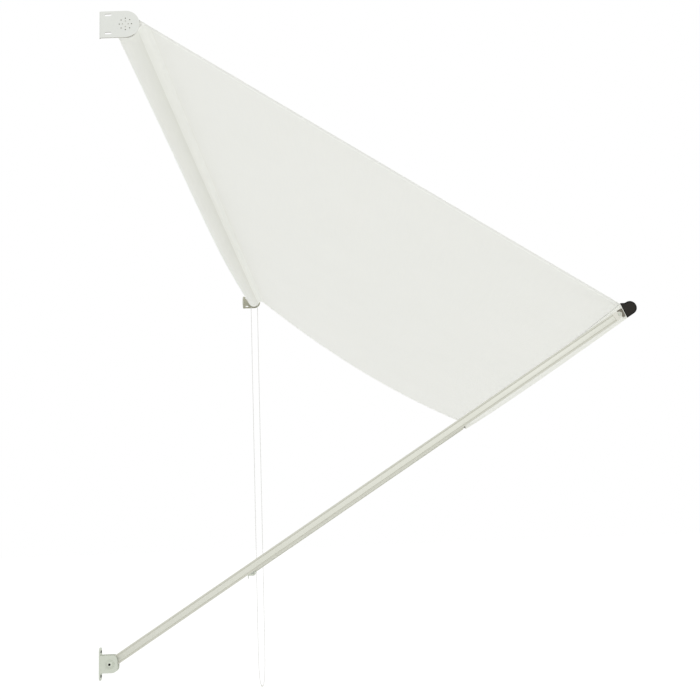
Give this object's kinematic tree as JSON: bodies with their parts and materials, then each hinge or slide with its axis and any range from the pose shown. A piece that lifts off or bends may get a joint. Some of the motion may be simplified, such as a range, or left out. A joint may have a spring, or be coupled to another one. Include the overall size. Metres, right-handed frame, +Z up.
{
  "type": "retractable awning",
  "caption": "Drop-arm canvas awning: a white cloth runs from a chain-driven roller between wall brackets to a front bar on straight pivoting arms.",
  "frame": {"origin": "centre of the left top bracket's wall flange, on the wall, level with the roller axis", "axes": "+X along the roller to the chain end, +Y into the wall, +Z up"},
  "size_m": [4, 1.4712, 2.5183],
  "materials": {
    "painted_steel": "off-white powder coat on folded sheet steel",
    "bright_steel": "zinc-plated, lightly polished",
    "spring_steel": "dark spring wire",
    "white_plastic": "off-white moulded plastic",
    "grey_plastic": "brown-grey moulded plastic",
    "black_plastic": "near-black moulded plastic",
    "painted_aluminium": "white powder coat on an aluminium extrusion",
    "canvas": "plain white woven canvas",
    "bead_chain": "white moulded beads on a cord"
  },
  "bodies": {
    "wall_frame": {"left_top_bracket": "painted_steel", "right_top_bracket": "painted_steel", "left_lower_bracket": "painted_steel", "right_lower_bracket": "painted_steel", "left_pivot_bolt": "painted_steel", "left_pivot_nut": "painted_steel", "left_outer_washer": "painted_steel", "right_pivot_bolt": "painted_steel", "right_pivot_nut": "painted_steel", "right_outer_washer": "painted_steel", "idler_hub": "white_plastic", "clutch_hub": "white_plastic", "chain_guard": "white_plastic", "wrap_spring": "spring_steel", "bead_chain": "bead_chain", "cloth": "canvas", "left_outer_spacer": "bright_steel", "left_inner_spacer": "bright_steel", "left_inner_washer": "bright_steel", "right_outer_spacer": "bright_steel", "right_inner_spacer": "bright_steel", "right_inner_washer": "bright_steel"},
    "roller": {"roller_tube": "bright_steel", "idler_plug": "white_plastic", "drive_plug": "white_plastic", "chain_wheel": "white_plastic", "roller_keder": "white_plastic", "cloth_turns": "canvas"},
    "left_arm": {"left_arm_tube": "painted_aluminium", "left_arm_foot": "white_plastic", "left_arm_head": "white_plastic"},
    "right_arm": {"right_arm_tube": "painted_aluminium", "right_arm_foot": "white_plastic", "right_arm_head": "white_plastic"},
    "front_bar": {"front_bar": "painted_aluminium", "left_end_cap": "black_plastic", "right_end_cap": "black_plastic", "left_hinge_block": "grey_plastic", "right_hinge_block": "grey_plastic", "left_head_pin": "painted_steel", "right_head_pin": "painted_steel", "hem_rod": "white_plastic"}
  },
  "joints": [
    {"name": "left_arm_pivot", "type": "hinge", "parent": "wall_frame", "child": "left_arm", "pos_m": [0.009, -0.029, -1.766], "axis": [-1, 0, 0], "range_deg": [0, 55], "deforming": ["cloth"]},
    {"name": "right_arm_pivot", "type": "hinge", "parent": "wall_frame", "child": "right_arm", "pos_m": [3.959, -0.029, -1.766], "axis": [-1, 0, 0], "range_deg": [0, 55]},
    {"name": "front_bar_pivot", "type": "hinge", "parent": "left_arm", "child": "front_bar", "pos_m": [0.009, -1.42522, -0.88675], "axis": [-1, 0, 0], "range_deg": [-55, 0]},
    {"name": "roller_spin", "type": "hinge", "parent": "wall_frame", "child": "roller", "pos_m": [0, -0.075, 0], "axis": [-1, 0, 0], "range_deg": [0, 2880.5]}
  ],
  "couplings": [
    {"joint": "right_arm_pivot", "follows": "left_arm_pivot", "ratio": 1},
    {"joint": "front_bar_pivot", "follows": "left_arm_pivot", "ratio": -1},
    {"joint": "roller_spin", "follows": "left_arm_pivot", "ratio": 52.364}
  ]
}
